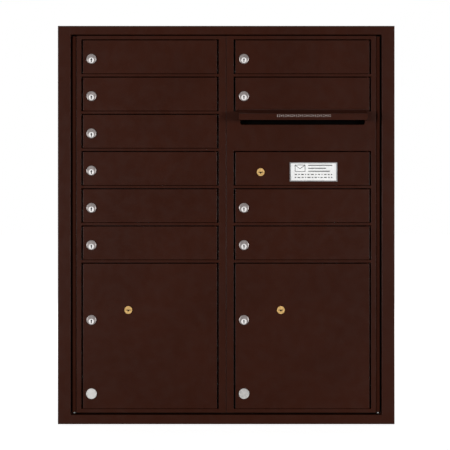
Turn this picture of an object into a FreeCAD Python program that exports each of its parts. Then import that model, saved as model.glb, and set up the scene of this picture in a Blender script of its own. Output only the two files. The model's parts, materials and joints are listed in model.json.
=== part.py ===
import FreeCAD, Part
import math
import os
import Sketcher

# Recessed front-loading wall mailbox, ten modules high and two columns wide.
# X runs to the right, Y runs into the wall, Z runs up. The origin lies on the wall plane,
# in the middle of the trim's bottom edge, so the trim stands out to negative Y.

os.makedirs("parts", exist_ok=True)
doc = FreeCAD.newDocument("WallMailbox")
sheet = doc.addObject("Spreadsheet::Sheet", "Dimensions")

VALUES = [
    # overall
    ("module_pitch", 88.9, "height of one mailbox module"),
    ("trim_width", 804.0, "trim, outer width"),
    ("trim_height", 951.0, "trim, outer height"),
    ("trim_depth", 16.0, "trim, how far it stands out from the wall"),
    ("trim_sheet", 2.0, "trim, sheet thickness"),
    ("trim_edge_radius", 1.4, "trim, rounding of the front edges"),
    ("opening_half", 371.5, "trim opening, half width"),
    ("opening_bottom", 22.2, "trim opening, bottom edge"),
    ("opening_top", 930.2, "trim opening, top edge"),
    # cabinet shell
    ("shell_sheet", 1.6, "shell, sheet thickness"),
    ("shell_half", 373.5, "shell, outer half width"),
    ("shell_bottom", 20.0, "shell, underside"),
    ("shell_top", 932.4, "shell, top"),
    ("shell_depth", 418.0, "shell, depth behind the wall plane"),
    ("jamb_face", 368.6, "jamb, distance of its face from the middle"),
    ("jamb_front", 2.0, "jamb, front web position"),
    ("jamb_back", 11.5, "jamb, back end"),
    ("side_hole_radius", 3.5, "mounting holes in the side panels"),
    ("side_hole_low", 130.0, "lower mounting holes"),
    ("side_hole_high", 790.0, "upper mounting holes"),
    ("side_hole_front", 60.0, "front mounting holes"),
    ("side_hole_rear", 340.0, "rear mounting holes"),
    # centre post and shelves
    ("post_half", 16.0, "centre post flange, half width"),
    ("post_front", 12.0, "centre post flange, front face"),
    ("post_sheet", 2.0, "centre post flange thickness"),
    ("partition_half", 0.8, "centre partition, half thickness"),
    ("shelf_sheet", 1.5, "shelf thickness"),
    ("shelf_hem", 6.0, "shelf hem height"),
    # master doors
    ("axis_half", 362.5, "master hinge axis, distance from the middle"),
    ("axis_front", 11.5, "master hinge axis, distance in front of the wall plane"),
    ("knuckle_radius", 4.25, "master hinge knuckles, outer radius"),
    ("knuckle_bore", 1.75, "master hinge knuckles, bore radius"),
    ("pin_radius", 1.7, "master hinge pin radius"),
    ("knuckle_pitch", 49.8, "distance between one leaf's knuckles"),
    ("knuckle_length", 24.6, "length of one knuckle"),
    ("knuckle_count", 18, "knuckles on each leaf"),
    ("hinge_bottom", 29.0, "lower end of the master hinges"),
    ("leaf_sheet", 1.6, "hinge leaf thickness"),
    ("leaf_gap", 4.5, "hinge leaf, distance of its face from the axis"),
    ("face_front", 14.0, "master face, distance in front of the wall plane"),
    ("face_sheet", 2.0, "master face thickness"),
    ("face_outer", 357.5, "master face, outer edge from the middle"),
    ("seam_half", 0.5, "half of the seam between the master doors"),
    ("face_bottom", 27.3, "master face, bottom edge"),
    ("face_top", 927.5, "master face, top edge"),
    ("bar_back", 6.0, "stiles and rails, back face behind the wall plane"),
    ("bar_inset", 1.0, "stiles and rails, set in from the face edge"),
    ("window_near", 17.8, "windows, edge nearest the middle"),
    ("window_far", 346.2, "windows, edge farthest from the middle"),
    ("first_line", 917.9, "centre of the gap above the first row"),
    ("window_rise", 1.3, "window edge above the gap centre"),
    ("window_height", 82.9, "window height of one module"),
    ("parcel_bottom", 36.2, "parcel window, bottom edge"),
    # compartment doors
    ("door_width", 320.0, "compartment door width"),
    ("door_height", 79.3, "compartment door height"),
    ("door_near", 22.0, "compartment door, edge nearest the middle"),
    ("door_front", 15.0, "compartment door face in front of the wall plane"),
    ("door_sheet", 2.0, "compartment door thickness"),
    ("door_drop", 1.3, "door top below the gap centre"),
    ("door_lift", 1.0, "door bottom above the window's bottom edge"),
    ("door_edge_radius", 0.8, "rounding of the door's front edges"),
    ("return_sheet", 1.6, "door returns, thickness"),
    ("return_depth", 9.0, "door returns, depth"),
    ("tube_inset", 4.0, "door hinge tube axis from the door's right edge"),
    ("tube_depth", 6.0, "door hinge tube axis behind the door face"),
    ("tube_radius", 3.4, "door hinge tube, outer radius"),
    ("tube_bore", 1.65, "door hinge tube, bore radius"),
    ("rod_radius", 1.6, "rod that the doors hang on"),
    ("parcel_height", 346.0, "parcel door height"),
    # cam locks
    ("lock_across", 20.3, "cam lock centre from the door's left edge"),
    ("lock_up", 34.8, "cam lock centre above the door's bottom edge"),
    ("parcel_lock_up", 211.8, "parcel cam lock above the door's bottom edge"),
    ("bezel_radius", 11.6, "cam lock bezel radius"),
    ("bezel_height", 2.8, "cam lock bezel height"),
    ("barrel_radius", 10.6, "cam lock barrel radius"),
    ("barrel_hole", 10.7, "hole in the door for the barrel"),
    ("barrel_length", 17.0, "cam lock barrel length behind the door face"),
    ("plug_drop", 3.5, "cam lock plug, centre below the bezel's centre"),
    ("plug_radius", 6.5, "cam lock plug radius"),
    ("plug_bore", 6.55, "cam lock bore radius"),
    ("cam_length", 33.0, "cam, reach from the plug's axis"),
    ("cam_width", 12.0, "cam width"),
    ("key_length", 11.0, "keyway length"),
    ("key_width", 2.0, "keyway width"),
    # brass locks
    ("brass_radius", 9.3, "brass lock face radius"),
    ("brass_barrel", 7.0, "brass lock barrel radius"),
    ("brass_bore", 7.06, "bore for the brass lock barrel"),
    ("parcel_brass_across", 108.4, "parcel brass lock from the door's left edge"),
    ("parcel_brass_up", 235.5, "parcel brass lock above the door's bottom edge"),
    ("master_brass_across", 60.2, "master brass lock from the lock panel's left edge"),
    ("master_brass_up", 31.2, "master brass lock above the lock panel's bottom edge"),
    # round disc on the parcel doors
    ("disc_across", 20.5, "disc centre from the door's left edge"),
    ("disc_up", 35.7, "disc centre above the door's bottom edge"),
    ("disc_radius", 12.5, "disc radius"),
    # placard
    ("placard_across", 186.4, "placard centre from the lock panel's left edge"),
    ("placard_up", 31.7, "placard centre above the lock panel's bottom edge"),
    ("placard_width", 113.3, "placard width"),
    ("placard_height", 45.4, "placard height"),
    ("placard_border", 2.4, "placard border width"),
    # hood and mail slot
    ("hood_left", 8.0, "hood, left end from the door's left edge"),
    ("hood_right", 310.0, "hood, right end from the door's left edge"),
    ("hood_start", 8.1, "hood, start of the bend above the door's bottom edge"),
    ("hood_radius", 8.0, "hood, radius of the upper bend"),
    ("hood_angle", 70.0, "hood, slope of the top face from upright, in degrees"),
    ("hood_out", 37.5, "hood, reach in front of the door"),
    ("hood_nose", 3.0, "hood, radius of the bend above the lip"),
    ("hood_lip", 14.8, "hood, height of the lip"),
    ("hood_corner", 4.5, "hood, radius of the lip's lower corners"),
    ("hood_sheet", 2.0, "hood thickness"),
    ("slot_left", 33.4, "mail slot, left end"),
    ("slot_right", 331.3, "mail slot, right end"),
    ("slot_bottom", 715.1, "mail slot, bottom edge"),
    ("slot_top", 739.0, "mail slot, top edge"),
    # bolt
    ("bolt_tip", 20.0, "master bolt tip when it is drawn back"),
    ("bolt_travel", 14.0, "master bolt travel"),
    ("latch_height", 330.0, "centre latch lever, height of its pivot"),
]


class Dim:
    """A number together with the spreadsheet formula that gives it."""

    def __init__(self, number, formula):
        self.n = float(number)
        self.f = formula

    @staticmethod
    def of(x):
        if isinstance(x, Dim):
            return x
        return Dim(x, "(%s)" % repr(round(float(x), 6)))

    def __add__(self, o):
        o = Dim.of(o)
        return Dim(self.n + o.n, "(%s + %s)" % (self.f, o.f))

    def __radd__(self, o):
        return Dim.of(o) + self

    def __sub__(self, o):
        o = Dim.of(o)
        return Dim(self.n - o.n, "(%s - %s)" % (self.f, o.f))

    def __rsub__(self, o):
        return Dim.of(o) - self

    def __mul__(self, o):
        o = Dim.of(o)
        return Dim(self.n * o.n, "(%s * %s)" % (self.f, o.f))

    def __rmul__(self, o):
        return Dim.of(o) * self

    def __truediv__(self, o):
        o = Dim.of(o)
        return Dim(self.n / o.n, "(%s / %s)" % (self.f, o.f))

    def __neg__(self):
        return Dim(-self.n, "(0 - %s)" % self.f)


D = {}
for row, (alias, number, note) in enumerate(VALUES, start=1):
    sheet.set("A%d" % row, alias)
    sheet.set("B%d" % row, repr(number))
    sheet.set("C%d" % row, note)
    sheet.setAlias("B%d" % row, alias)
    D[alias] = Dim(number, "Dimensions." + alias)
doc.recompute()


def count_name(base):
    count_name.n += 1
    return "%s_%03d" % (base, count_name.n)


count_name.n = 0


def bind(obj, prop, value):
    obj.setExpression(prop, Dim.of(value).f)


def place(obj, x=0.0, y=0.0, z=0.0, rotation=None):
    """Puts an object at x, y, z, each bound to its formula."""
    x, y, z = Dim.of(x), Dim.of(y), Dim.of(z)
    obj.Placement = FreeCAD.Placement(
        FreeCAD.Vector(x.n, y.n, z.n), rotation or FreeCAD.Rotation()
    )
    for axis, value in (("x", x), ("y", y), ("z", z)):
        if "Dimensions" in value.f:
            obj.setExpression("Placement.Base." + axis, value.f)
    return obj


# ---------------------------------------------------------------- primitives


def block(x0, x1, y0, y1, z0, z1):
    b = doc.addObject("Part::Box", count_name("Block"))
    x0, x1, y0, y1, z0, z1 = [Dim.of(a) for a in (x0, x1, y0, y1, z0, z1)]
    b.Length, b.Width, b.Height = x1.n - x0.n, y1.n - y0.n, z1.n - z0.n
    bind(b, "Length", x1 - x0)
    bind(b, "Width", y1 - y0)
    bind(b, "Height", z1 - z0)
    return place(b, x0, y0, z0)


TURN = {
    "X": FreeCAD.Rotation(FreeCAD.Vector(0, 1, 0), 90),
    "Y": FreeCAD.Rotation(FreeCAD.Vector(1, 0, 0), -90),
    "Z": FreeCAD.Rotation(),
}


def rod(axis, radius, x, y, z, length):
    c = doc.addObject("Part::Cylinder", count_name("Rod"))
    c.Radius, c.Height = Dim.of(radius).n, Dim.of(length).n
    bind(c, "Radius", radius)
    bind(c, "Height", length)
    return place(c, x, y, z, TURN[axis])


def cone(axis, radius_one, radius_two, x, y, z, length):
    c = doc.addObject("Part::Cone", count_name("Cone"))
    c.Radius1, c.Radius2 = Dim.of(radius_one).n, Dim.of(radius_two).n
    c.Height = Dim.of(length).n
    bind(c, "Radius1", radius_one)
    bind(c, "Radius2", radius_two)
    bind(c, "Height", length)
    return place(c, x, y, z, TURN[axis])


def hexagon(axis, circumradius, x, y, z, length):
    p = doc.addObject("Part::Prism", count_name("Hex"))
    p.Polygon = 6
    p.Circumradius, p.Height = Dim.of(circumradius).n, Dim.of(length).n
    bind(p, "Circumradius", circumradius)
    bind(p, "Height", length)
    return place(p, x, y, z, TURN[axis])


def cut(base, *tools):
    for tool in tools:
        c = doc.addObject("Part::Cut", count_name("Cut"))
        c.Base, c.Tool = base, tool
        base = c
    return base


def fuse(*parts):
    if len(parts) == 1:
        return parts[0]
    f = doc.addObject("Part::MultiFuse", count_name("Fuse"))
    f.Shapes = list(parts)
    f.Refine = True
    return f


NODES = []


def node(label, obj, x=0.0, y=0.0, z=0.0):
    """Names a finished sub-part and puts it in its place."""
    obj.Label = label
    place(obj, x, y, z)
    NODES.append(obj)
    return obj


def group(label, parts, x=0.0, y=0.0, z=0.0):
    """Several separate solids that make up one named sub-part."""
    g = doc.addObject("Part::Compound", count_name("Group"))
    g.Links = list(parts)
    return node(label, g, x, y, z)


# ------------------------------------------------------------------ sketches


def origin_plane(body, role):
    for f in body.Origin.OriginFeatures:
        if getattr(f, "Role", "") == role:
            return f
    raise ValueError(role)


def sketch(body, role, loops, offset=None):
    """A fully placed sketch on one of the body's origin planes.

    A loop is ("circle", across, up, radius), or a list of corners (across, up). A third
    entry in a corner, (centre across, centre up, radius, counter-clockwise), makes the edge
    that leaves it an arc.
    """
    s = body.newObject("Sketcher::SketchObject", count_name("Sketch"))
    s.AttachmentSupport = (origin_plane(body, role), [""])
    s.MapMode = "FlatFace"
    if offset is not None:
        off = Dim.of(offset)
        s.AttachmentOffset = FreeCAD.Placement(
            FreeCAD.Vector(0, 0, off.n), FreeCAD.Rotation()
        )
        if "Dimensions" in off.f:
            s.setExpression("AttachmentOffset.Base.z", off.f)
    named = []

    def pin(geo, pos, axis, value):
        v = Dim.of(value)
        kind = "DistanceX" if axis == 0 else "DistanceY"
        if abs(v.n) < 1e-9:
            s.addConstraint(
                Sketcher.Constraint("PointOnObject", geo, pos, -2 if axis == 0 else -1)
            )
            return
        if v.n > 0:
            i = s.addConstraint(Sketcher.Constraint(kind, -1, 1, geo, pos, v.n))
        else:
            v = -v
            i = s.addConstraint(Sketcher.Constraint(kind, geo, pos, -1, 1, v.n))
        if "Dimensions" in v.f:
            named.append((i, v))

    for loop in loops:
        if loop[0] == "circle":
            _, cx, cy, r = loop
            cx, cy, r = Dim.of(cx), Dim.of(cy), Dim.of(r)
            g = s.addGeometry(
                Part.Circle(
                    FreeCAD.Vector(cx.n, cy.n, 0), FreeCAD.Vector(0, 0, 1), r.n
                ),
                False,
            )
            pin(g, 3, 0, cx)
            pin(g, 3, 1, cy)
            i = s.addConstraint(Sketcher.Constraint("Radius", g, r.n))
            if "Dimensions" in r.f:
                named.append((i, r))
            continue
        corners = [(Dim.of(c[0]), Dim.of(c[1]), c[2] if len(c) > 2 else None) for c in loop]
        count = len(corners)
        ids = []
        for k in range(count):
            x0, y0, arc = corners[k]
            x1, y1, _ = corners[(k + 1) % count]
            if arc is None:
                g = s.addGeometry(
                    Part.LineSegment(
                        FreeCAD.Vector(x0.n, y0.n, 0), FreeCAD.Vector(x1.n, y1.n, 0)
                    ),
                    False,
                )
                ids.append((g, 1, 2, None))
            else:
                cx, cy, r, ccw = Dim.of(arc[0]), Dim.of(arc[1]), Dim.of(arc[2]), arc[3]
                a0 = math.atan2(y0.n - cy.n, x0.n - cx.n)
                a1 = math.atan2(y1.n - cy.n, x1.n - cx.n)
                circle = Part.Circle(
                    FreeCAD.Vector(cx.n, cy.n, 0), FreeCAD.Vector(0, 0, 1), r.n
                )
                if not ccw:
                    a0, a1 = a1, a0
                while a1 <= a0:
                    a1 += 2 * math.pi
                g = s.addGeometry(Part.ArcOfCircle(circle, a0, a1), False)
                ids.append((g, 1, 2, r) if ccw else (g, 2, 1, r))
        for k in range(count):
            g, start, end, r = ids[k]
            h, begin = ids[(k + 1) % count][0], ids[(k + 1) % count][1]
            s.addConstraint(Sketcher.Constraint("Coincident", g, end, h, begin))
        for k in range(count):
            g, start, end, r = ids[k]
            pin(g, start, 0, corners[k][0])
            pin(g, start, 1, corners[k][1])
            if r is not None:
                i = s.addConstraint(Sketcher.Constraint("Radius", g, r.n))
                if "Dimensions" in r.f:
                    named.append((i, r))
    for n, (i, value) in enumerate(named):
        s.renameConstraint(i, "size%d" % n)
        s.setExpression("Constraints.size%d" % n, value.f)
    return s


def rect(x0, x1, y0, y1):
    return [(x0, y0), (x1, y0), (x1, y1), (x0, y1)]


def new_body():
    b = doc.addObject("PartDesign::Body", count_name("Body"))
    return b


def pad(body, role, loops, length, flip=False, offset=None):
    s = sketch(body, role, loops, offset)
    p = body.newObject("PartDesign::Pad", count_name("Pad"))
    p.Profile = s
    p.Length = Dim.of(length).n
    bind(p, "Length", length)
    p.Reversed = flip
    return p


def pocket(body, role, loops, length, flip=False, offset=None):
    s = sketch(body, role, loops, offset)
    p = body.newObject("PartDesign::Pocket", count_name("Pocket"))
    p.Profile = s
    p.Length = Dim.of(length).n
    bind(p, "Length", length)
    p.Reversed = flip
    return p


def front_fillet(body, feature, radius):
    """Rounds the edges that lie in the feature's frontmost plane."""
    doc.recompute()
    shape = feature.Shape
    low = shape.BoundBox.YMin
    names = []
    for k, e in enumerate(shape.Edges, start=1):
        box = e.BoundBox
        if abs(box.YMin - low) < 1e-4 and abs(box.YMax - low) < 1e-4:
            names.append("Edge%d" % k)
    f = body.newObject("PartDesign::Fillet", count_name("Fillet"))
    f.Base = (feature, names)
    f.Radius = Dim.of(radius).n
    bind(f, "Radius", radius)
    body.Tip = f
    return f


# -------------------------------------------------------------- fixed cabinet

tw, th, ts = D["trim_width"], D["trim_height"], D["trim_sheet"]
oh, ob, ot = D["opening_half"], D["opening_bottom"], D["opening_top"]

# Trim: a flat flange, an outer return to the wall and an inner return into the opening.
body = new_body()
outer = rect(-tw / 2, tw / 2, 0, th)
first = pad(body, "XZ_Plane", [outer, rect(-oh, oh, ob, ot)], ts, flip=True)
front_fillet(body, first, D["trim_edge_radius"])
pad(
    body,
    "XZ_Plane",
    [outer, rect(ts - tw / 2, tw / 2 - ts, ts, th - ts)],
    D["trim_depth"] - ts,
    flip=True,
    offset=-ts,
)
pad(
    body,
    "XZ_Plane",
    [rect(-oh - ts, oh + ts, ob - ts, ot + ts), rect(-oh, oh, ob, ot)],
    D["trim_depth"] - ts,
    flip=True,
    offset=-ts,
)
node("trim_frame", body, 0, -D["trim_depth"], 0)

# Shell: two side panels with screw holes, top and bottom panels, and an angle jamb at each side.
sh, sb, st, sd = D["shell_half"], D["shell_bottom"], D["shell_top"], D["shell_depth"]
ss = D["shell_sheet"]
parts = []
for side in (-1, 1):
    lo, hi = (-sh, -sh + ss) if side < 0 else (sh - ss, sh)
    panel = block(lo, hi, 0, sd, sb, st)
    holes = [
        rod("X", D["side_hole_radius"], lo - 1, D[y], D[z], ss + 2)
        for y in ("side_hole_front", "side_hole_rear")
        for z in ("side_hole_low", "side_hole_high")
    ]
    parts.append(cut(panel, *holes))
parts.append(block(-sh + ss, sh - ss, 0, sd, st - ss, st))
parts.append(block(-sh + ss, sh - ss, 0, sd, sb, sb + ss))
for side in (-1, 1):
    jf, jb = D["jamb_front"], D["jamb_back"]
    wall, face = sh - ss, D["jamb_face"]
    if side < 0:
        web = block(-wall, -face, jf, jf + ss, sb + ss, st - ss)
        leg = block(-face - ss, -face, jf, jb, sb + ss, st - ss)
    else:
        web = block(face, wall, jf, jf + ss, sb + ss, st - ss)
        leg = block(face, face + ss, jf, jb, sb + ss, st - ss)
    parts.append(fuse(web, leg))
group("cabinet_shell", parts)

# Back panel with two pressed stiffening ribs.
bw = sh - ss - 0.2
body = new_body()
pad(body, "XZ_Plane", [rect(-bw, bw, 0, st - sb - 2 * ss - 0.4)], ss, flip=True)
for centre in (-186.0, 186.0):
    pad(
        body,
        "XZ_Plane",
        [rect(centre - 30, centre + 30, 120, 790)],
        2.0,
        flip=False,
    )
node("cabinet_back", body, 0, sd - ss, sb + ss + 0.2)

# Centre partition with a wide front post.
pf, ps, ph = D["post_front"], D["post_sheet"], D["post_half"]
post = cut(
    block(-ph, ph, pf, pf + ps, sb + ss, st - ss),
    rod("Y", 2.56, 8.0, pf - 1, D["latch_height"], ps + 2),
)
web = block(
    -D["partition_half"], D["partition_half"], pf + ps, sd - ss - 2.0, sb + ss, st - ss
)
group("centre_partition", [post, web])

# Shelves, one under each module, in line with the rails of the master doors.
rail_mid = {}
for r in range(6):
    rail_mid[r] = D["first_line"] - r * D["module_pitch"] - 84.6
shelves = []
front = pf + ps
for side, rows in ((-1, range(6)), (1, (0, 1, 3, 4, 5))):
    for r in rows:
        z = rail_mid[r]
        if side < 0:
            x0, x1 = -sh + ss, -D["partition_half"]
        else:
            x0, x1 = D["partition_half"], sh - ss
        plate = block(
            x0, x1, front, sd - ss - 2.0, z - D["shelf_sheet"] / 2, z + D["shelf_sheet"] / 2
        )
        hem = block(
            x0,
            x1,
            front,
            front + D["shelf_sheet"],
            z + D["shelf_sheet"] / 2 - D["shelf_hem"],
            z + D["shelf_sheet"] / 2,
        )
        shelves.append(fuse(plate, hem))
group("compartment_shelves", shelves)


# ------------------------------------------------------------- master hinges


def hinge_leaf(side, moving):
    """One leaf of a full-height hinge. The axis is the local origin; side -1 is the left hinge."""
    b = new_body()
    r = D["knuckle_radius"]
    gap, thick = D["leaf_gap"], D["leaf_sheet"]
    span = D["knuckle_pitch"] * D["knuckle_count"]
    # the fixed leaf lies on the outer side of the axis, the moving leaf on the inner side
    s = side if not moving else -side
    v0, v1, web_end = (1.5, 23.0, 3.7) if not moving else (-0.5, 17.5, 1.7)
    if s > 0:
        strip = rect(gap, gap + thick, v0, v1)
    else:
        strip = rect(-gap - thick, -gap, v0, v1)
    pad(b, "XY_Plane", [strip], span)
    x_low = math.sqrt(4.25**2 - v0**2)
    x_high = math.sqrt(4.25**2 - web_end**2)
    outline = [
        (s * (gap + 0.3), v0),
        (s * x_low, v0, (0, 0, r, s < 0)),
        (s * x_high, web_end),
        (s * (gap + 0.3), web_end),
    ]
    start = D["knuckle_pitch"] / 2 if moving else Dim.of(0)
    knuckle = pad(
        b,
        "XY_Plane",
        [outline],
        D["knuckle_length"],
        offset=start + (D["knuckle_pitch"] / 2 - D["knuckle_length"]) / 2,
    )
    doc.recompute()
    pattern = b.newObject("PartDesign::LinearPattern", count_name("Pattern"))
    pattern.Originals = [knuckle]
    axis = origin_plane(b, "Z_Axis")
    pattern.Direction = (axis, [""])
    pattern.Length = (D["knuckle_pitch"] * (D["knuckle_count"] - 1)).n
    bind(pattern, "Length", D["knuckle_pitch"] * (D["knuckle_count"] - 1))
    pattern.Occurrences = int(D["knuckle_count"].n)
    b.Tip = pattern
    doc.recompute()
    pocket(b, "XY_Plane", [("circle", 0, 0, D["knuckle_bore"])], span + 2, flip=True, offset=-1.0)
    return b


ax, ay, hz = D["axis_half"], -D["axis_front"], D["hinge_bottom"]
leaves = []
rivet_heights = [62.0 + 75.0 * k for k in range(12)]
for side in (-1, 1):
    leaf = hinge_leaf(side, False)
    place(leaf, side * ax, ay, hz)
    leaves.append(leaf)
    for z in rivet_heights:
        face = ax + D["leaf_gap"]
        if side < 0:
            leaves.append(cone("X", 2.6, 1.6, -face, 6.0, z, 0.9))
        else:
            leaves.append(cone("X", 1.6, 2.6, face - 0.9, 6.0, z, 0.9))
group("fixed_hinge_leaves", leaves)

pins = []
span = D["knuckle_pitch"] * D["knuckle_count"]
for side in (-1, 1):
    shaft = rod("Z", D["pin_radius"], side * ax, ay, hz - 1.6, span + 2.4)
    head = rod("Z", 2.6, side * ax, ay, hz - 2.6, 1.2)
    pins.append(fuse(shaft, head))
group("master_hinge_pins", pins)


# -------------------------------------------------------------- master doors


def line(r):
    return D["first_line"] - r * D["module_pitch"]


def window_top(r):
    return line(r) + D["window_rise"]


def window_bottom(r):
    return window_top(r) - D["window_height"]


wn, wf = D["window_near"], D["window_far"]
fo, sm = D["face_outer"], D["seam_half"]
fb, ft = D["face_bottom"], D["face_top"]
bi, bb = D["bar_inset"], D["bar_back"]
face_back = D["face_sheet"] - D["face_front"]


def master_face(side, rows, slot):
    """Face sheet. Its local origin is at the middle of the unit, on the face plane."""
    b = new_body()

    def span_of(near, far):
        return (near, far) if side > 0 else (-far, -near)

    x0, x1 = span_of(sm, fo)
    w0, w1 = span_of(wn, wf)
    loops = [rect(x0, x1, fb, ft)]
    for r in rows:
        loops.append(rect(w0, w1, window_bottom(r), window_top(r)))
    loops.append(rect(w0, w1, D["parcel_bottom"], window_top(6)))
    if slot:
        l, rgt, low, top = (D[k] for k in ("slot_left", "slot_right", "slot_bottom", "slot_top"))
        c = 5.0
        loops.append(
            [
                (l + c, low),
                (rgt - c, low, (rgt - c, low + c, c, True)),
                (rgt, low + c),
                (rgt, top - c, (rgt - c, top - c, c, True)),
                (rgt - c, top),
                (l + c, top, (l + c, top - c, c, True)),
                (l, top - c),
                (l, low + c, (l + c, low + c, c, True)),
            ]
        )
    plate = pad(b, "XZ_Plane", loops, D["face_sheet"], flip=True)
    front_fillet(b, plate, 0.5)
    return b


def bar(x0, x1, z0, z1, hole_x=None):
    b = block(x0, x1, face_back, bb, z0, z1)
    if hole_x is not None:
        b = cut(b, rod("Z", D["tube_bore"], hole_x, rod_y, z0 - 1, z1 - z0 + 2))
    return b


rod_y = D["tube_depth"] - D["door_front"]
door_far = D["door_near"] + D["door_width"]
rod_x = {-1: -D["door_near"] - D["tube_inset"], 1: door_far - D["tube_inset"]}


def master_bars(side, rails):
    """Two stiles and the rails between them, behind the face sheet."""
    leaf_edge = ax - D["leaf_gap"] - D["leaf_sheet"]
    parts = []
    if side < 0:
        parts.append(bar(-leaf_edge, -wf, fb + bi, ft - bi))
        parts.append(bar(-wn, -2.0, fb + bi, ft - bi))
        x0, x1 = -wf, -wn
    else:
        parts.append(bar(wf, leaf_edge, fb + bi, ft - bi))
        parts.append(bar(2.0, wn, fb + bi, ft - bi))
        x0, x1 = wn, wf
    hole = rod_x[side]
    parts.append(bar(x0, x1, window_top(0), ft - bi, hole))
    parts.append(bar(x0, x1, fb + bi, D["parcel_bottom"], hole))
    for z0, z1 in rails:
        parts.append(bar(x0, x1, z0, z1, hole))
    return parts


# Left master door.
face = master_face(-1, range(6), False)
node("left_master_face", face, 0, -D["face_front"], 0)
rails = [(window_top(r + 1), window_bottom(r)) for r in range(6)]
parts = master_bars(-1, rails)
# keeper for the centre latch lever
lz = D["latch_height"]
parts.append(block(-17.0, -14.4, bb, 10.4, lz - 9, lz + 9))
parts.append(block(-14.4, -2.2, 8.8, 10.4, lz - 9, lz + 9))
group("left_master_rails", parts)


def moving_leaf(side):
    leaf = hinge_leaf(side, True)
    place(leaf, side * ax, ay, hz)
    parts = [leaf]
    face = ax - D["leaf_gap"]
    for z in rivet_heights:
        if side < 0:
            parts.append(cone("X", 1.6, 2.6, -face - 0.9, 0.5, z + 20.0, 0.9))
        else:
            parts.append(cone("X", 2.6, 1.6, face, 0.5, z + 20.0, 0.9))
    parts.append(rod("Z", D["rod_radius"], rod_x[side], rod_y, fb + 2.2, ft - fb - 4.4))
    return parts


group("left_hinge_leaf", moving_leaf(-1))

# Right master door: windows for the rows 1, 2, 4, 5 and 6, a plain panel with the mail slot.
face = master_face(1, (0, 1, 3, 4, 5), True)
node("right_master_face", face, 0, -D["face_front"], 0)
rails = [(window_top(r + 1), window_bottom(r)) for r in (0, 3, 4, 5)]
rail_height = window_bottom(0) - window_top(1)
rails.append((window_bottom(1) - rail_height, window_bottom(1)))
rails.append((window_top(3), window_top(3) + rail_height))
parts = master_bars(1, rails)
# doubler sheets around the mail slot
low, high = window_top(3) + rail_height, window_bottom(1) - rail_height
back = face_back + 1.2
sl, sr, slo, shi = (D[k] for k in ("slot_left", "slot_right", "slot_bottom", "slot_top"))
parts.append(block(wn, wf, face_back, back, low, slo))
parts.append(block(wn, sl, face_back, back, slo, shi))
parts.append(block(sr, wf, face_back, back, slo, shi))
parts.append(block(wn, wf, face_back, back, shi, high))
group("right_master_rails", parts)
group("right_hinge_leaf", moving_leaf(1))


# --------------------------------------------------------- compartment doors


def door_plate(height, holes, tube=True, hood=False, ears=False):
    """A door pressed from sheet. The local origin is the lower left corner of its face."""
    b = new_body()
    w, sheet_t = D["door_width"], D["door_sheet"]
    plate = pad(b, "XZ_Plane", [rect(0, w, 0, height)], sheet_t, flip=True)
    front_fillet(b, plate, D["door_edge_radius"])
    rs = D["return_sheet"]
    end = w - 8.0
    pad(
        b,
        "XZ_Plane",
        [
            [
                (0, 0),
                (end, 0),
                (end, rs),
                (rs, rs),
                (rs, height - rs),
                (end, height - rs),
                (end, height),
                (0, height),
            ]
        ],
        D["return_depth"],
        flip=True,
        offset=-sheet_t,
    )
    if tube:
        cx, cy, r = w - D["tube_inset"], D["tube_depth"], D["tube_radius"]
        half, rise = 2.9, math.sqrt(3.4**2 - 2.9**2)
        pad(
            b,
            "XY_Plane",
            [
                [
                    (cx - half, 1.5),
                    (cx + half, 1.5),
                    (cx + half, cy - rise, (cx, cy, r, True)),
                    (cx - half, cy - rise),
                ]
            ],
            height,
        )
        pocket(
            b,
            "XY_Plane",
            [("circle", cx, cy, D["tube_bore"])],
            height + 2,
            flip=True,
            offset=-1.0,
        )
    if hood:
        add_hood(b)
    if ears:
        # angle ears that lap behind the rails above and below
        for x in (30.0, 268.0):
            pad(
                b,
                "YZ_Plane",
                [[(9.0, 0), (21.0, 0), (21.0, -5.5), (22.6, -5.5), (22.6, rs), (9.0, rs)]],
                22.0,
                offset=x,
            )
            pad(
                b,
                "YZ_Plane",
                [
                    [
                        (9.0, height - rs),
                        (22.6, height - rs),
                        (22.6, height + 5.5),
                        (21.0, height + 5.5),
                        (21.0, height),
                        (9.0, height),
                    ]
                ],
                22.0,
                offset=x,
            )
    for across, up, radius in holes:
        pocket(b, "XZ_Plane", [("circle", across, up, radius)], 6.0, offset=1.0)
    return b


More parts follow.
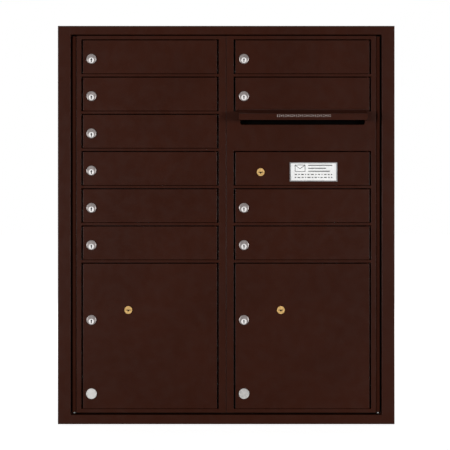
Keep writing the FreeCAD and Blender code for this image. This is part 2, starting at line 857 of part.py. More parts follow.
def add_hood(b):
    """A hood along the door's bottom edge: a bend, a steep top face, a lip and two cheeks."""
    start, r = D["hood_start"], D["hood_radius"]
    angle = math.radians(D["hood_angle"].n)
    sine, cosine = math.sin(angle), math.cos(angle)
    hs, out, nose = D["hood_sheet"], D["hood_out"], D["hood_nose"]
    ri = r + hs
    # end of the upper bend, then the point where the top face would meet the lip
    bend_y, bend_z = (r - r * cosine) * -1, start - r * sine
    run = (out - r + r * cosine) / sine
    lip_top = bend_z - run * cosine
    lip_low = lip_top - D["hood_lip"]
    back = nose * math.tan(angle / 2)
    length = D["hood_right"] - D["hood_left"]
    pad(
        b,
        "YZ_Plane",
        [
            [
                (1.0, start),
                (0.0, start, (r * -1, start, r, False)),
                (bend_y, bend_z),
                (back * sine - out, lip_top + back * cosine, (nose - out, lip_top - back, nose, True)),
                (out * -1, lip_top - back),
                (out * -1, lip_low),
                (-0.6, lip_low),
                (-0.6, 0.0),
                (1.0, 0.0),
            ]
        ],
        length,
        offset=D["hood_left"],
    )
    # the cavity is open below and closed by the cheeks at both ends
    inner_y, inner_z = ri * cosine - r, start - ri * sine
    inner_run = (out - hs + inner_y) / sine
    pocket(
        b,
        "YZ_Plane",
        [
            [
                (-0.7, start - ri * math.sin(math.acos((r.n - 0.7) / ri.n)), (r * -1, start, ri, False)),
                (inner_y, inner_z),
                (hs - out, inner_z - inner_run * cosine),
                (hs - out, lip_low - 1.0),
                (0.5, lip_low - 1.0),
                (0.5, 0),
                (-0.7, 0),
            ]
        ],
        length - 2 * hs,
        flip=True,
        offset=D["hood_left"] + hs,
    )
    # rounded lower corners of the lip and cheeks
    corner = D["hood_corner"]
    for end, way in ((D["hood_left"], 1), (D["hood_right"], -1)):
        pocket(
            b,
            "XZ_Plane",
            [
                [
                    (end - way, lip_low - 1.0),
                    (end + way * corner, lip_low - 1.0),
                    (end + way * corner, lip_low, (end + way * corner, lip_low + corner, corner, way < 0)),
                    (end, lip_low + corner),
                    (end - way, lip_low + corner),
                ]
            ],
            out + 2.0,
            offset=out + 1.0,
        )


def cam_lock(label_housing, label_plug, x, z):
    """Cam lock: a round housing with a bevelled bezel and a hex nut, and a plug with its cam.

    x and z are the bezel's centre. The plug sits below the centre, as its bore is eccentric.
    """
    b = new_body()
    rb, hb, rr = D["bezel_radius"], D["bezel_height"], D["barrel_radius"]
    s = sketch(
        b,
        "XY_Plane",
        [
            [
                (0, -hb),
                (rb - 1.9, -hb),
                (rb, 1.0 - hb),
                (rb, 0),
                (rr, 0),
                (rr, D["barrel_length"]),
                (0, D["barrel_length"]),
            ]
        ],
    )
    turned = b.newObject("PartDesign::Revolution", count_name("Turned"))
    turned.Profile = s
    turned.ReferenceAxis = (s, ["V_Axis"])
    turned.Angle = 360.0
    pocket(
        b,
        "XZ_Plane",
        [("circle", 0, -D["plug_drop"], D["plug_bore"])],
        30.0,
        offset=6.0,
    )
    nut = cut(
        hexagon("Y", 14.6, 0, 2.0, 0, 3.5),
        rod("Y", rr, 0, 1.0, 0, 6.0),
    )
    y = -D["door_front"]
    group(label_housing, [b, nut], x, y, z)
    # plug, cam and cam nut, about the plug's own axis
    core = rod("Y", D["plug_radius"], 0, -hb - 0.5, 0, 22.0 + hb + 0.5)
    tail = rod("Y", 4.0, 0, 22.0, 0, 5.5)
    key = fuse(
        block(
            -D["key_width"] / 2,
            D["key_width"] / 2,
            -hb - 1.5,
            3.0,
            -D["key_length"] / 2 + 0.8,
            D["key_length"] / 2 - 0.8,
        ),
        rod("Y", 1.9, 0, -hb - 1.5, 1.4, hb + 3.0),
    )
    plug = cut(fuse(core, tail), key)
    arm = fuse(
        rod("Y", 8.0, 0, 22.0, 0, 2.0),
        block(
            -D["cam_width"] / 2,
            D["cam_width"] / 2,
            22.0,
            24.0,
            0,
            D["cam_length"] - 3.0,
        ),
        rod("Y", D["cam_width"] / 2, 0, 22.0, D["cam_length"] - D["cam_width"] / 2, 2.0),
    )
    arm = cut(arm, rod("Y", 4.0, 0, 21.0, 0, 4.0))
    cam_nut = cut(hexagon("Y", 6.6, 0, 24.0, 0, 3.0), rod("Y", 4.0, 0, 23.0, 0, 5.0))
    group(label_plug, [plug, arm, cam_nut], x, y, z - D["plug_drop"])


columns = {-1: -door_far, 1: D["door_near"]}
tenants = [(-1, r) for r in range(6)] + [(1, 0), (1, 1), (1, 4), (1, 5)]
lock_hole = (D["lock_across"], D["lock_up"], D["barrel_hole"])
for n, (side, r) in enumerate(tenants, start=1):
    x = columns[side]
    z = line(r) - D["door_drop"] - D["door_height"]
    b = door_plate(D["door_height"], [lock_hole], hood=(side, r) == (1, 1))
    node("tenant_door_%02d" % n, b, x, -D["door_front"], z)
    cam_lock(
        "tenant_housing_%02d" % n,
        "tenant_plug_%02d" % n,
        x + D["lock_across"],
        z + D["lock_up"],
    )


def brass_plug(length, disc_at=None):
    """A brass lock plug about its own axis, with a level keyway and a small drive disc."""
    core = fuse(
        rod("Y", D["brass_radius"] - 0.6, 0, -2.2, 0, 0.6),
        rod("Y", D["brass_radius"], 0, -1.6, 0, 1.6),
        rod("Y", D["brass_barrel"], 0, -0.5, 0, length + 0.5),
    )
    if disc_at is not None:
        core = fuse(core, rod("Y", 10.0, 0, disc_at, 0, 1.7))
    wedge = cone("Y", 2.4, 1.2, 0, -3.2, -1.6, 4.2)
    key = fuse(
        block(-5.7, 5.7, -3.2, 2.0, -1.0, 1.0),
        wedge,
    )
    return cut(core, key)


for side, name in ((-1, "left"), (1, "right")):
    x = columns[side]
    z = D["parcel_bottom"] + D["door_lift"]
    b = door_plate(
        D["parcel_height"],
        [
            (D["lock_across"], D["parcel_lock_up"], D["barrel_hole"]),
            (D["parcel_brass_across"], D["parcel_brass_up"], D["brass_bore"]),
            (D["disc_across"], D["disc_up"], 6.06),
        ],
    )
    node("parcel_door_" + name, b, x, -D["door_front"], z)
    lock_x, lock_z = x + D["lock_across"], z + D["parcel_lock_up"]
    cam_lock("parcel_lock_bodies_" + name, "parcel_customer_plug_" + name, lock_x, lock_z)
    # the carrier's lock case joins the customer's housing in one sub-part
    bx, bz = x + D["parcel_brass_across"], z + D["parcel_brass_up"]
    case = cut(
        block(-20.0, 20.0, 2.0, 21.0, -26.0, 20.0),
        rod("Y", D["brass_bore"], 0, 1.0, 0, 17.0),
    )
    lid = block(-18.0, 18.0, 21.0, 22.2, -24.0, 18.0)
    screws = [
        rod("Y", 2.2, sx, 22.2, sz, 1.2) for sx in (-14.0, 14.0) for sz in (-20.0, 14.0)
    ]
    housing = [o for o in NODES if o.Label == "parcel_lock_bodies_" + name][0]
    carrier = doc.addObject("Part::Compound", count_name("Carrier"))
    carrier.Links = [case, lid] + screws
    place(
        carrier,
        D["parcel_brass_across"] - D["lock_across"],
        0,
        D["parcel_brass_up"] - D["parcel_lock_up"],
    )
    housing.Links = list(housing.Links) + [carrier]
    node("parcel_carrier_plug_" + name, brass_plug(15.0), bx, -D["door_front"], bz)
    # round disc with a turned rim and a stem through the door
    b = new_body()
    s = sketch(
        b,
        "XY_Plane",
        [
            [
                (0, -1.2),
                (10.6, -1.2),
                (10.9, -1.9),
                (12.0, -1.9),
                (D["disc_radius"], -1.3),
                (D["disc_radius"], 0),
                (6.0, 0),
                (6.0, 2.0),
                (7.2, 2.0),
                (6.6, 4.4),
                (0, 4.4),
            ]
        ],
    )
    turned = b.newObject("PartDesign::Revolution", count_name("Turned"))
    turned.Profile = s
    turned.ReferenceAxis = (s, ["V_Axis"])
    turned.Angle = 360.0
    node("parcel_disc_" + name, b, x + D["disc_across"], -D["door_front"], z + D["disc_up"])


# ----------------------------------------- lock panel, placard, master lock

panel_x = D["door_near"]
panel_z = line(3) - D["door_drop"] - D["door_height"]
b = door_plate(
    D["door_height"],
    [(D["master_brass_across"], D["master_brass_up"], D["brass_bore"])],
    tube=False,
    ears=True,
)
node("lock_panel", b, panel_x, -D["door_front"], panel_z)

pw, pht, pb = D["placard_width"], D["placard_height"], D["placard_border"]
b = new_body()
pad(b, "XZ_Plane", [rect(-pw / 2, pw / 2, -pht / 2, pht / 2)], 0.9, flip=True, offset=0.9)
pad(
    b,
    "XZ_Plane",
    [
        rect(-pw / 2, pw / 2, -pht / 2, pht / 2),
        rect(-pw / 2 + pb, pw / 2 - pb, -pht / 2 + pb, pht / 2 - pb),
    ],
    0.8,
    flip=False,
    offset=0.9,
)
node(
    "mail_placard",
    b,
    panel_x + D["placard_across"],
    -D["door_front"],
    panel_z + D["placard_up"],
)

mx, mz = panel_x + D["master_brass_across"], panel_z + D["master_brass_up"]
case = cut(
    block(-30.0, 30.0, 2.0, 36.0, -20.0, 20.0),
    rod("Y", D["brass_bore"], 0, 1.0, 0, 27.2),
    rod("Y", 10.3, 0, 27.9, 0, 1.9),
    block(-31.0, 26.0, 29.8, 34.2, -6.2, 6.2),
)
screws = [rod("Y", 2.4, sx, 36.0, sz, 1.4) for sx in (-24.0, 24.0) for sz in (-15.0, 15.0)]
group("master_lock_case", [case] + screws, mx, -D["door_front"], mz)
node("master_lock_plug", brass_plug(28.0, disc_at=28.0), mx, -D["door_front"], mz)
bolt = block(D["bolt_tip"], 94.0, -D["door_front"] + 30.0, -D["door_front"] + 34.0, -6.0, 6.0)
nose = block(
    D["bolt_tip"] - 1.0, D["bolt_tip"] + 2.0, -D["door_front"] + 32.8, -D["door_front"] + 35.0, -7.0, 7.0
)
node("master_lock_bolt", cut(bolt, nose), 0, 0, mz)

# Guard behind the mail slot: fixed under the rail, it turns the mail down.
guard_top = window_bottom(1) - rail_height
b = new_body()
pad(
    b,
    "YZ_Plane",
    [
        [
            (face_back + 1.2, -1.5),
            (bb - 1.5, -1.5),
            (bb + 1.0, -44.0),
            (bb + 2.5, -44.0),
            (bb, 0.0),
            (face_back + 1.2, 0.0),
        ]
    ],
    304.0,
)
node("slot_guard", b, 30.0, 0, guard_top)

# Centre latch lever: turns on the centre post and reaches behind the left door's keeper.
lever = fuse(
    rod("Y", 4.4, 0, 6.4, 0, 1.8),
    block(-3.2, 3.2, 6.4, 8.2, 0, 15.0),
    rod("Y", 3.2, 0, 6.4, 15.0, 1.8),
    rod("Y", 2.5, 0, 6.4, 0, 8.2),
    rod("Y", 4.2, 0, 14.1, 0, 1.4),
)
node("centre_latch_lever", lever, 8.0, 0, D["latch_height"])

# ---------------------------------------------------------- check and export

doc.recompute()
bad = []
for obj in doc.Objects:
    if "Invalid" in obj.State or "Error" in obj.State:
        bad.append("%s %s" % (obj.Name, obj.State))
names = [o.Label for o in NODES]
if len(set(names)) != len(names):
    bad.append("a label is used twice")
for obj in NODES:
    shape = obj.Shape
    if shape.isNull() or not shape.isValid():
        bad.append("%s has no valid shape" % obj.Label)
    elif shape.Volume <= 0 or not shape.Solids:
        bad.append("%s has no solid" % obj.Label)
if bad:
    raise RuntimeError("; ".join(bad[:20]))
for obj in NODES:
    obj.Shape.exportStep("parts/%s.step" % obj.Label)
print("wrote %d sub-parts" % len(NODES))
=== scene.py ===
"""Recessed wall mailbox, ten modules high, two columns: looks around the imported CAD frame."""

import json
import math

import bmesh
import bpy
from mathutils import Matrix, Vector


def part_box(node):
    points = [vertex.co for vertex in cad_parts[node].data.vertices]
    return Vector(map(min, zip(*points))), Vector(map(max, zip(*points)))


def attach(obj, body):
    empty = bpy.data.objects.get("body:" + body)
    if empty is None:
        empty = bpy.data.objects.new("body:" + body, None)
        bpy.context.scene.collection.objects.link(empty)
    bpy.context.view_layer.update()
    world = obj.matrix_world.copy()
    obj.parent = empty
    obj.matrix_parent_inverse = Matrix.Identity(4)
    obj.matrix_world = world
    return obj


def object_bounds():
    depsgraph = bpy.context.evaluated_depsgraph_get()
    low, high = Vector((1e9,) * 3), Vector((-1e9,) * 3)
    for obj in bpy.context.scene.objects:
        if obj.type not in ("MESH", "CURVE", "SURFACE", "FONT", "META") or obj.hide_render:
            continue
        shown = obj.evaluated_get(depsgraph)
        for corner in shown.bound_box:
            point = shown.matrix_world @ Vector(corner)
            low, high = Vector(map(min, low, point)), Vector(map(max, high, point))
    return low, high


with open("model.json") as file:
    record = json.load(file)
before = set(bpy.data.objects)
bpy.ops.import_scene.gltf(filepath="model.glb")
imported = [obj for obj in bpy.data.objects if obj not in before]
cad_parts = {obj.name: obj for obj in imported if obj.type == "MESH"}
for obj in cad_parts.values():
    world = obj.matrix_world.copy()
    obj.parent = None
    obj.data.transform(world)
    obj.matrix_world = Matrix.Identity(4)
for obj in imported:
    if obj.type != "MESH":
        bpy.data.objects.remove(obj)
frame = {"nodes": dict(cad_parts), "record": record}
cad_lo, cad_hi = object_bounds()

MM = 0.001


# ---------------------------------------------------------------- node helpers


class Tree:
    """A material's node tree with short calls for the nodes used here."""

    def __init__(self, name):
        self.material = bpy.data.materials.new(name)
        self.material.use_nodes = True
        self.nodes = self.material.node_tree.nodes
        self.links = self.material.node_tree.links
        self.nodes.clear()
        self.out = self.add("ShaderNodeOutputMaterial")
        self.shader = self.add("ShaderNodeBsdfPrincipled")
        self.links.new(self.shader.outputs["BSDF"], self.out.inputs["Surface"])
        self.place = self.add("ShaderNodeTexCoord").outputs["Object"]

    def add(self, kind, **settings):
        made = self.nodes.new(kind)
        for key, value in settings.items():
            setattr(made, key, value)
        return made

    def feed(self, socket, value):
        if isinstance(value, bpy.types.NodeSocket):
            self.links.new(value, socket)
        else:
            socket.default_value = value

    def math(self, operation, *values, clamp=False):
        made = self.add("ShaderNodeMath", operation=operation, use_clamp=clamp)
        for socket, value in zip(made.inputs, values):
            self.feed(socket, value)
        return made.outputs[0]

    def noise(self, scale, detail=2.0, roughness=0.5, stretch=None, offset=0.0):
        made = self.add("ShaderNodeTexNoise")
        made.inputs["Scale"].default_value = scale
        made.inputs["Detail"].default_value = detail
        made.inputs["Roughness"].default_value = roughness
        where = self.place
        if stretch or offset:
            mapping = self.add("ShaderNodeMapping")
            self.feed(mapping.inputs["Vector"], where)
            mapping.inputs["Scale"].default_value = stretch or (1, 1, 1)
            mapping.inputs["Location"].default_value = (offset, offset * 0.7, offset * 1.3)
            where = mapping.outputs["Vector"]
        self.feed(made.inputs["Vector"], where)
        return made.outputs["Fac"]

    def span(self, value, low, high, to_low=0.0, to_high=1.0, smooth=True):
        made = self.add("ShaderNodeMapRange")
        made.interpolation_type = "SMOOTHSTEP" if smooth else "LINEAR"
        self.feed(made.inputs["Value"], value)
        made.inputs["From Min"].default_value = low
        made.inputs["From Max"].default_value = high
        made.inputs["To Min"].default_value = to_low
        made.inputs["To Max"].default_value = to_high
        return made.outputs["Result"]

    def mix(self, share, first, second):
        made = self.add("ShaderNodeMix", data_type="RGBA")
        self.feed(made.inputs[0], share)
        for socket, value in ((made.inputs[6], first), (made.inputs[7], second)):
            if isinstance(value, bpy.types.NodeSocket):
                self.links.new(value, socket)
            else:
                socket.default_value = (*value, 1.0)
        return made.outputs[2]

    def edges(self, radius, low=0.02, high=0.25):
        """1 along sharp outer edges, 0 on flat faces."""
        bevel = self.add("ShaderNodeBevel", samples=4)
        bevel.inputs["Radius"].default_value = radius
        geometry = self.add("ShaderNodeNewGeometry")
        dot = self.add("ShaderNodeVectorMath", operation="DOT_PRODUCT")
        self.feed(dot.inputs[0], bevel.outputs["Normal"])
        self.feed(dot.inputs[1], geometry.outputs["Normal"])
        return self.span(self.math("SUBTRACT", 1.0, dot.outputs["Value"]), low, high)

    def split(self):
        made = self.add("ShaderNodeSeparateXYZ")
        self.feed(made.inputs[0], self.place)
        return made.outputs

    def bump(self, *layers):
        """Each layer is (height, strength, depth in metres)."""
        normal = None
        for height, strength, depth in layers:
            made = self.add("ShaderNodeBump")
            made.inputs["Strength"].default_value = strength
            made.inputs["Distance"].default_value = depth
            self.feed(made.inputs["Height"], height)
            if normal is not None:
                self.feed(made.inputs["Normal"], normal)
            normal = made.outputs["Normal"]
        self.feed(self.shader.inputs["Normal"], normal)

    def finish(self, colour, roughness, metallic=0.0, specular=0.5):
        self.feed(self.shader.inputs["Base Color"], colour)
        self.feed(self.shader.inputs["Roughness"], roughness)
        self.shader.inputs["Metallic"].default_value = metallic
        self.shader.inputs["Specular IOR Level"].default_value = specular
        return self.material


def scaled(colour, factor):
    return tuple(c * factor for c in colour)


# ------------------------------------------------------------------- materials


def powder_coat(name, base, specular=0.2, rough=(0.33, 0.42)):
    """Satin polyester powder coat: fine orange peel, slight cloudiness, edges rubbed a little lighter."""
    t = Tree(name)
    cloud = t.noise(5.0, 3.0, 0.55)
    fleck = t.noise(750.0, 2.0, 0.6)
    blotch = t.noise(38.0, 4.0, 0.6, offset=3.1)
    rubs = t.noise(120.0, 3.0, 0.65, offset=7.7)
    colour = t.mix(t.span(cloud, 0.3, 0.7), scaled(base, 0.90), scaled(base, 1.08))
    colour = t.mix(t.span(fleck, 0.35, 0.72, 0.0, 0.55), colour, scaled(base, 1.32))
    colour = t.mix(
        t.span(blotch, 0.50, 0.75, 0.0, 0.30),
        colour,
        (base[0] * 1.02, base[1] * 1.22, base[2] * 1.35),
    )
    edge = t.math("MULTIPLY", t.edges(0.0011), t.span(rubs, 0.34, 0.66, 0.12, 1.0))
    colour = t.mix(
        t.math("MULTIPLY", edge, 0.42),
        colour,
        (base[0] * 2.1 + 0.01, base[1] * 2.2 + 0.008, base[2] * 2.3 + 0.006),
    )
    gloss = t.span(blotch, 0.3, 0.7, *rough)
    gloss = t.math("ADD", gloss, t.math("MULTIPLY", edge, -0.08))
    t.bump(
        (t.noise(300.0, 2.0, 0.5, offset=1.3), 0.16, 0.00018),
        (fleck, 0.12, 0.00008),
    )
    return t.finish(colour, gloss, 0.0, specular)


def painted_pin(name, base, bare_below):
    """A hinge rod painted in the given colour, bare zinc steel at its lower end."""
    t = Tree(name)
    patch = t.noise(190.0, 3.0, 0.6)
    fine = t.noise(900.0, 2.0, 0.6, offset=4.0)
    bare = t.span(
        t.math("ADD", t.split()["Z"], t.span(patch, 0.3, 0.7, -0.001, 0.001)),
        bare_below - 0.001,
        bare_below + 0.001,
        1.0,
        0.0,
    )
    paint = t.mix(t.span(fine, 0.4, 0.7), scaled(base, 0.9), scaled(base, 1.25))
    zinc = t.mix(t.span(patch, 0.35, 0.7), (0.26, 0.26, 0.25), (0.38, 0.38, 0.37))
    zinc = t.mix(t.math("MULTIPLY", t.edges(0.0006), 0.4), zinc, (0.50, 0.50, 0.48))
    t.bump((fine, 0.12, 0.00005))
    made = t.finish(t.mix(bare, paint, zinc), t.span(patch, 0.3, 0.7, 0.38, 0.52), 0.0, 0.15)
    t.feed(t.shader.inputs["Metallic"], t.math("MULTIPLY", bare, 0.5))
    return made


def sheet_metal(name, base, grain=(1.0, 1.0, 24.0), rough=(0.34, 0.50), metallic=1.0, dull=0.8, painted=None):
    """Rolled sheet: fine grain along one direction, faint stains, brighter rubbed edges.

    painted is (depth, colour): everything in front of that depth is coloured that dark colour, as painted shade
    where this sheet shows through the gaps between doors and frame.
    """
    t = Tree(name)
    lines = t.noise(140.0, 3.0, 0.7, stretch=grain)
    stain = t.noise(9.0, 4.0, 0.6, offset=2.0)
    spots = t.noise(60.0, 3.0, 0.6, offset=5.0)
    colour = t.mix(t.span(stain, 0.35, 0.7), scaled(base, dull), base)
    colour = t.mix(t.span(lines, 0.42, 0.62, 0.0, 0.35), colour, scaled(base, 1.10))
    colour = t.mix(t.span(spots, 0.60, 0.78, 0.0, 0.30), colour, scaled(base, 0.72))
    colour = t.mix(t.math("MULTIPLY", t.edges(0.0009), 0.35), colour, scaled(base, 1.22))
    roughness = t.math(
        "ADD",
        t.span(stain, 0.3, 0.7, rough[0], rough[1]),
        t.span(lines, 0.4, 0.65, 0.0, 0.07),
    )
    t.bump((lines, 0.20, 0.00006), (spots, 0.08, 0.0001))
    if painted is None:
        return t.finish(colour, roughness, metallic)
    # painted shade: in front of depth the colour is the given dark bronze and the metal is dropped
    depth, paint = painted
    ragged = t.math("ADD", t.split()["Y"], t.span(spots, 0.3, 0.7, -0.0006, 0.0006))
    front = t.span(ragged, depth - 0.0006, depth + 0.0006, 1.0, 0.0)
    colour = t.mix(front, colour, paint)
    made = t.finish(colour, roughness)
    t.feed(t.shader.inputs["Metallic"], t.math("MULTIPLY", t.math("SUBTRACT", 1.0, front), metallic))
    return made


def turned(name, base, rough=(0.22, 0.36), metallic=1.0, dull=0.82, rub=1.2, keyway=None):
    """A small machined and plated part: very fine marks, tarnish in patches, bright edges.

    keyway is (face, depth): from just behind the face to that depth the surfaces are coloured near black, as painted
    shade inside the keyway.
    """
    t = Tree(name)
    fine = t.noise(2600.0, 2.0, 0.6, stretch=(1.0, 0.4, 1.0))
    patch = t.noise(190.0, 3.0, 0.6, offset=4.0)
    wide = t.noise(60.0, 2.0, 0.5, offset=9.0)
    colour = t.mix(t.span(patch, 0.38, 0.68), scaled(base, dull), base)
    colour = t.mix(t.span(fine, 0.45, 0.7, 0.0, 0.25), colour, scaled(base, 1.1))
    colour = t.mix(t.math("MULTIPLY", t.edges(0.0006), 0.5), colour, scaled(base, rub))
    roughness = t.math(
        "ADD",
        t.span(patch, 0.3, 0.7, rough[0], rough[1]),
        t.span(wide, 0.35, 0.65, 0.0, 0.06),
    )
    t.bump((fine, 0.10, 0.00003), (patch, 0.05, 0.00008))
    if keyway is None:
        return t.finish(colour, roughness, metallic)
    face, depth = keyway
    # painted shade: the inside of the keyway is coloured near black and loses its metal
    behind = t.math("SUBTRACT", t.split()["Y"], face)
    keyway_shade = t.math(
        "MULTIPLY",
        t.span(behind, 0.0002, 0.0006),
        t.span(behind, depth, depth + 0.001, 1.0, 0.0),
    )
    colour = t.mix(keyway_shade, colour, (0.006, 0.005, 0.004))
    made = t.finish(colour, roughness)
    unshaded = t.math("SUBTRACT", 1.0, keyway_shade)
    t.feed(t.shader.inputs["Metallic"], t.math("MULTIPLY", unshaded, metallic))
    return made


def placard_finish(name, face_plane):
    """White enamel inside a raised silver border."""
    t = Tree(name)
    depth = t.split()["Y"]
    border = t.span(depth, face_plane - 0.00045, face_plane - 0.00025, 1.0, 0.0)
    cloud = t.noise(40.0, 3.0, 0.6)
    grain = t.noise(900.0, 2.0, 0.5, offset=2.0)
    white = t.mix(t.span(cloud, 0.35, 0.7), (0.88, 0.88, 0.87), (0.94, 0.94, 0.93))
    silver = t.mix(t.span(grain, 0.4, 0.65), (0.40, 0.39, 0.40), (0.62, 0.61, 0.61))
    colour = t.mix(border, white, silver)
    rough = t.math("ADD", t.span(cloud, 0.3, 0.7, 0.34, 0.46), t.math("MULTIPLY", border, 0.06))
    t.bump((grain, 0.10, 0.00005))
    made = t.finish(colour, rough)
    t.feed(t.shader.inputs["Metallic"], t.math("MULTIPLY", border, 0.75))
    return made


def ink(name, base, rough=0.5):
    """Silk-screened ink with a slightly uneven coat."""
    t = Tree(name)
    coat = t.noise(900.0, 3.0, 0.6)
    colour = t.mix(t.span(coat, 0.35, 0.7), scaled(base, 0.8), scaled(base, 1.15))
    t.bump((coat, 0.15, 0.00003))
    return t.finish(colour, t.span(coat, 0.3, 0.7, rough - 0.06, rough + 0.06))


BRONZE = (0.0303, 0.0071, 0.0032)
# painted shade: a darker copy of the bronze paint for the hinge barrels, against the light their round knuckles
# catch
HINGE_SHADED_BRONZE = (0.0275, 0.0068, 0.0034)
# painted shade: the slot guard is coloured near black to stand in for the shade inside the mail slot
SLOT_SHADE_BLACK = (0.0012, 0.0009, 0.0008)

plug_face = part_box("tenant_plug_01")[0].y
brass_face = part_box("master_lock_plug")[0].y
placard_lo, placard_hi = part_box("mail_placard")
placard_face = placard_lo.y + 0.8 * MM

finishes = {
    "bronze_paint": powder_coat("bronze_paint", BRONZE),
    "bronze_hinge": powder_coat("bronze_hinge", HINGE_SHADED_BRONZE, specular=0.02, rough=(0.55, 0.68)),
    # painted shade: near-black finish for the slot guard, standing in for the shade in the slot
    "guard_black": powder_coat("guard_black", SLOT_SHADE_BLACK, specular=0.05),
    "mill_aluminium": sheet_metal(
        "mill_aluminium",
        (0.60, 0.61, 0.62),
        rough=(0.38, 0.44),
        dull=0.93,
        # painted shade: the front 30 mm is coloured bronze at 0.55 of the face paint, so it reads dark in the door
        # gaps
        painted=(0.030, scaled(BRONZE, 0.55)),
    ),
    "zinc_steel": sheet_metal(
        "zinc_steel", (0.52, 0.52, 0.50), grain=(1.0, 1.0, 1.0), rough=(0.30, 0.44)
    ),
    "lock_nickel": turned("lock_nickel", (0.36, 0.32, 0.31), rough=(0.38, 0.50), metallic=0.45),
    "plug_steel": turned(
        "plug_steel",
        (0.95, 0.92, 0.91),
        rough=(0.30, 0.42),
        metallic=0.12,
        dull=0.9,
        rub=1.03,
        keyway=(plug_face, 0.006),
    ),
    "lock_brass": turned(
        "lock_brass",
        (0.86, 0.54, 0.20),
        rough=(0.30, 0.44),
        metallic=0.25,
        dull=0.8,
        keyway=(brass_face + 0.6 * MM, 0.006),
    ),
    "disc_grey": sheet_metal(
        "disc_grey", (0.72, 0.71, 0.69), grain=(1.0, 1.0, 1.0), rough=(0.42, 0.58), metallic=0.35
    ),
    "placard_white": placard_finish("placard_white", placard_face),
}
slot_of = {s["node"]: s["material_slot"] for s in frame["record"]["subparts"]}
pin_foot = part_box("master_hinge_pins")[0].z + 12.0 * MM
# painted shade: the pin paint is the darker hinge bronze at half brightness again, so the pin tops show no bright
# dots
own = {"master_hinge_pins": painted_pin("hinge_pin", scaled(HINGE_SHADED_BRONZE, 0.5), pin_foot)}
for node, piece in frame["nodes"].items():
    if not piece.material_slots:
        piece.data.materials.append(None)
    for place in piece.material_slots:
        place.material = own.get(node) or finishes[slot_of[node]]


# ------------------------------------------------------------- printed marks


def print_marks(name, shapes, plane, body, material, sunk=0.05 * MM, proud=0.07 * MM):
    """Flat printed shapes, each a convex outline of (x, z), standing just proud of a face that looks towards -Y."""
    mesh = bpy.data.meshes.new(name)
    bm = bmesh.new()
    for outline in shapes:
        if sum(a[0] * b[1] - b[0] * a[1] for a, b in zip(outline, outline[1:] + outline[:1])) < 0:
            outline = outline[::-1]
        front = [bm.verts.new((x, plane - proud, z)) for x, z in outline]
        back = [bm.verts.new((x, plane + sunk, z)) for x, z in outline]
        bm.faces.new(front)
        bm.faces.new(back[::-1])
        for i in range(len(outline)):
            j = (i + 1) % len(outline)
            bm.faces.new((front[j], front[i], back[i], back[j]))
    bm.normal_update()
    bmesh.ops.recalc_face_normals(bm, faces=bm.faces)
    bm.to_mesh(mesh)
    bm.free()
    piece = bpy.data.objects.new(name, mesh)
    bpy.context.scene.collection.objects.link(piece)
    mesh.materials.append(material)
    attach(piece, body)
    return piece


def stroke(x0, z0, x1, z1, width):
    """A straight bar from one point to the other, as an outline."""
    along = Vector((x1 - x0, z1 - z0)).normalized()
    side = Vector((-along.y, along.x)) * width / 2
    return [
        (x0 - side.x, z0 - side.y),
        (x1 - side.x, z1 - side.y),
        (x1 + side.x, z1 + side.y),
        (x0 + side.x, z0 + side.y),
    ]


def placard_shapes():
    """An envelope, three heavy bars beside it and two rows of short dashes below."""
    left = placard_lo.x + 12.0 * MM
    right = placard_hi.x - 12.0 * MM
    low, high = placard_lo.z, placard_hi.z
    shapes = []
    x0, x1 = left, left + 25.0 * MM
    z0, z1 = low + 23.6 * MM, high - 6.2 * MM
    w = 1.35 * MM
    shapes += [
        stroke(x0, z0, x1, z0, w),
        stroke(x0, z1, x1, z1, w),
        stroke(x0 + w / 2, z0 + w / 2, x0 + w / 2, z1 - w / 2, w),
        stroke(x1 - w / 2, z0 + w / 2, x1 - w / 2, z1 - w / 2, w),
    ]
    tip = ((x0 + x1) / 2, z0 + 0.42 * (z1 - z0))
    shapes += [
        stroke(x0 + w * 1.2, z1 - w * 0.6, tip[0], tip[1], w * 0.9),
        stroke(x1 - w * 1.2, z1 - w * 0.6, tip[0], tip[1], w * 0.9),
    ]
    start = x1 + 7.0 * MM
    for row, share in enumerate((1.0, 0.74, 0.9)):
        z = z1 - w / 2 - row * (z1 - z0 - w) / 2 + 0.0
        shapes.append(stroke(start, z, start + (right - start) * share, z, 2.1 * MM))
    for row, (z, lengths) in enumerate(
        (
            (low + 16.6 * MM, (5.2, 3.0, 6.4, 2.2, 4.4, 7.0, 3.2, 5.0, 2.4, 6.0, 4.0, 3.0)),
            (low + 9.6 * MM, (3.4, 6.2, 4.6, 2.6, 7.2, 3.0, 5.4, 2.2, 4.8, 6.4, 3.6, 2.8)),
        )
    ):
        gap = ((right - left) - sum(lengths) * MM) / (len(lengths) - 1)
        x = left
        for length in lengths:
            shapes.append(stroke(x, z, x + length * MM, z, 2.3 * MM))
            x += length * MM + gap
    return shapes


def hood_shapes():
    """A row of short dashes and chevrons pointing at the slot below the hood."""
    lo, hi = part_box("tenant_door_08")
    middle = (lo.x + hi.x) / 2
    z = lo.z + 9.6 * MM
    shapes = []
    count, pitch = 26, 4.95 * MM
    for i in range(count):
        x = middle + (i - (count - 1) / 2) * pitch
        kind = i % 6
        if kind in (0, 3):
            shapes.append(stroke(x, z - 2.9 * MM, x, z + 2.9 * MM, 1.4 * MM))
        elif kind in (1, 4):
            shapes.append(stroke(x - 1.6 * MM, z + 1.9 * MM, x + 1.6 * MM, z + 1.9 * MM, 1.4 * MM))
            shapes.append(stroke(x - 1.6 * MM, z - 1.9 * MM, x + 1.6 * MM, z - 1.9 * MM, 1.4 * MM))
        else:
            shapes.append(stroke(x - 1.7 * MM, z + 2.5 * MM, x, z - 2.3 * MM, 1.1 * MM))
            shapes.append(stroke(x + 1.7 * MM, z + 2.5 * MM, x, z - 2.3 * MM, 1.1 * MM))
    return shapes


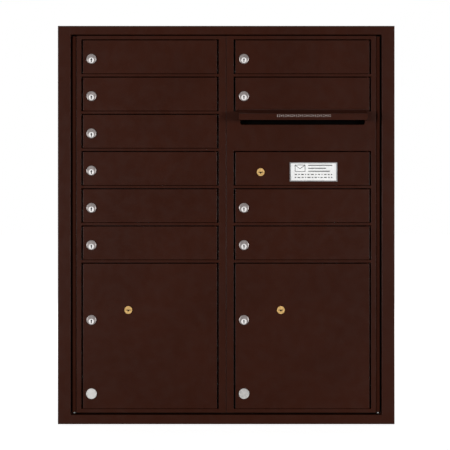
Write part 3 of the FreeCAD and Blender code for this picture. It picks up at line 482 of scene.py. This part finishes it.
print_marks(
    "placard_print",
    placard_shapes(),
    placard_face,
    "right_master",
    ink("placard_ink", (0.055, 0.055, 0.06)),
)
print_marks(
    "hood_print",
    hood_shapes(),
    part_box("tenant_door_08")[0].y,
    "tenant_08",
    ink("hood_ink", (0.36, 0.30, 0.28)),
)


# ------------------------------------------------------- floor, light, camera


def stage_floor():
    mesh = bpy.data.meshes.new("floor")
    bm = bmesh.new()
    size = 40.0
    bm.faces.new([bm.verts.new(p) for p in ((-size, -size, 0), (size, -size, 0), (size, size, 0), (-size, size, 0))])
    bm.to_mesh(mesh)
    bm.free()
    floor = bpy.data.objects.new("floor", mesh)
    floor.location = (0, 0, cad_lo.z - 0.0005)
    bpy.context.scene.collection.objects.link(floor)
    material = bpy.data.materials.new("floor_pale")
    material.use_nodes = True
    nodes, links = material.node_tree.nodes, material.node_tree.links
    shader = nodes["Principled BSDF"]
    seen = nodes.new("ShaderNodeLightPath").outputs["Is Camera Ray"]
    tone = nodes.new("ShaderNodeMix")
    tone.data_type = "RGBA"
    tone.inputs[6].default_value = (0.25, 0.25, 0.25, 1)
    tone.inputs[7].default_value = (0.50, 0.50, 0.50, 1)
    links.new(seen, tone.inputs[0])
    links.new(tone.outputs[2], shader.inputs["Base Color"])
    shader.inputs["Roughness"].default_value = 0.9
    shader.inputs["Specular IOR Level"].default_value = 0.0
    # paper white glow for the camera, weaker close to the object: painted shade round the object, in which the soft
    # contact shadow shows
    away = nodes.new("ShaderNodeVectorMath")
    away.operation = "LENGTH"
    links.new(nodes.new("ShaderNodeTexCoord").outputs["Object"], away.inputs[0])
    spread = nodes.new("ShaderNodeMapRange")
    spread.interpolation_type = "SMOOTHSTEP"
    spread.inputs["From Min"].default_value = 0.35
    spread.inputs["From Max"].default_value = 2.4
    spread.inputs["To Min"].default_value = 0.85
    spread.inputs["To Max"].default_value = 1.0
    links.new(away.outputs["Value"], spread.inputs["Value"])
    glow = nodes.new("ShaderNodeMath")
    glow.operation = "MULTIPLY"
    links.new(seen, glow.inputs[0])
    links.new(spread.outputs["Result"], glow.inputs[1])
    shader.inputs["Emission Color"].default_value = (1, 1, 1, 1)
    links.new(glow.outputs[0], shader.inputs["Emission Strength"])
    mesh.materials.append(material)


def area_light(name, place, aim, size, power, colour=(1, 1, 1)):
    data = bpy.data.lights.new(name, "AREA")
    data.shape = "RECTANGLE"
    data.size, data.size_y = size
    data.energy = power
    data.color = colour
    light = bpy.data.objects.new(name, data)
    light.location = place
    light.rotation_euler = (Vector(aim) - Vector(place)).to_track_quat("-Z", "Y").to_euler()
    bpy.context.scene.collection.objects.link(light)


def world_light():
    world = bpy.data.worlds.new("studio")
    bpy.context.scene.world = world
    world.use_nodes = True
    nodes, links = world.node_tree.nodes, world.node_tree.links
    nodes.clear()
    out = nodes.new("ShaderNodeOutputWorld")
    seen = nodes.new("ShaderNodeLightPath").outputs["Is Camera Ray"]
    tone = nodes.new("ShaderNodeMix")
    tone.data_type = "RGBA"
    tone.inputs[6].default_value = (0.10, 0.10, 0.10, 1)
    tone.inputs[7].default_value = (1.0, 1.0, 1.0, 1)
    links.new(seen, tone.inputs[0])
    sky = nodes.new("ShaderNodeBackground")
    links.new(tone.outputs[2], sky.inputs["Color"])
    links.new(sky.outputs[0], out.inputs["Surface"])


middle = (cad_lo + cad_hi) / 2
aim = (0.0, 0.0, 0.48)
stage_floor()
world_light()
area_light("key", (-3.3, -2.7, 0.50), aim, (1.7, 1.3), 152)
area_light("fill", (3.4, -2.6, 0.48), aim, (1.7, 1.3), 147)
area_light("top", (0.0, 0.2, 3.0), (0.0, 0.2, 0.4), (2.0, 1.6), 8)
area_light("rear_left", (-1.8, 2.6, 1.6), (0.0, 0.3, 0.45), (1.6, 1.6), 34)
area_light("rear_right", (2.0, 2.3, 1.2), (0.0, 0.3, 0.45), (1.4, 1.4), 22)

scene = bpy.context.scene
scene.view_settings.view_transform = "Standard"
scene.view_settings.look = "None"
scene.view_settings.exposure = 0.0
scene.view_settings.gamma = 1.0

camera_data = bpy.data.cameras.new("camera")
camera = bpy.data.objects.new("camera", camera_data)
scene.collection.objects.link(camera)
camera_data.sensor_width = 36.0
camera_data.lens = 73.68
camera_data.clip_start = 0.01
camera_data.clip_end = 200.0
camera.location = (-0.0029, -2.214, 0.4756)
camera.rotation_euler = (math.radians(90), 0, 0)
scene.camera = camera
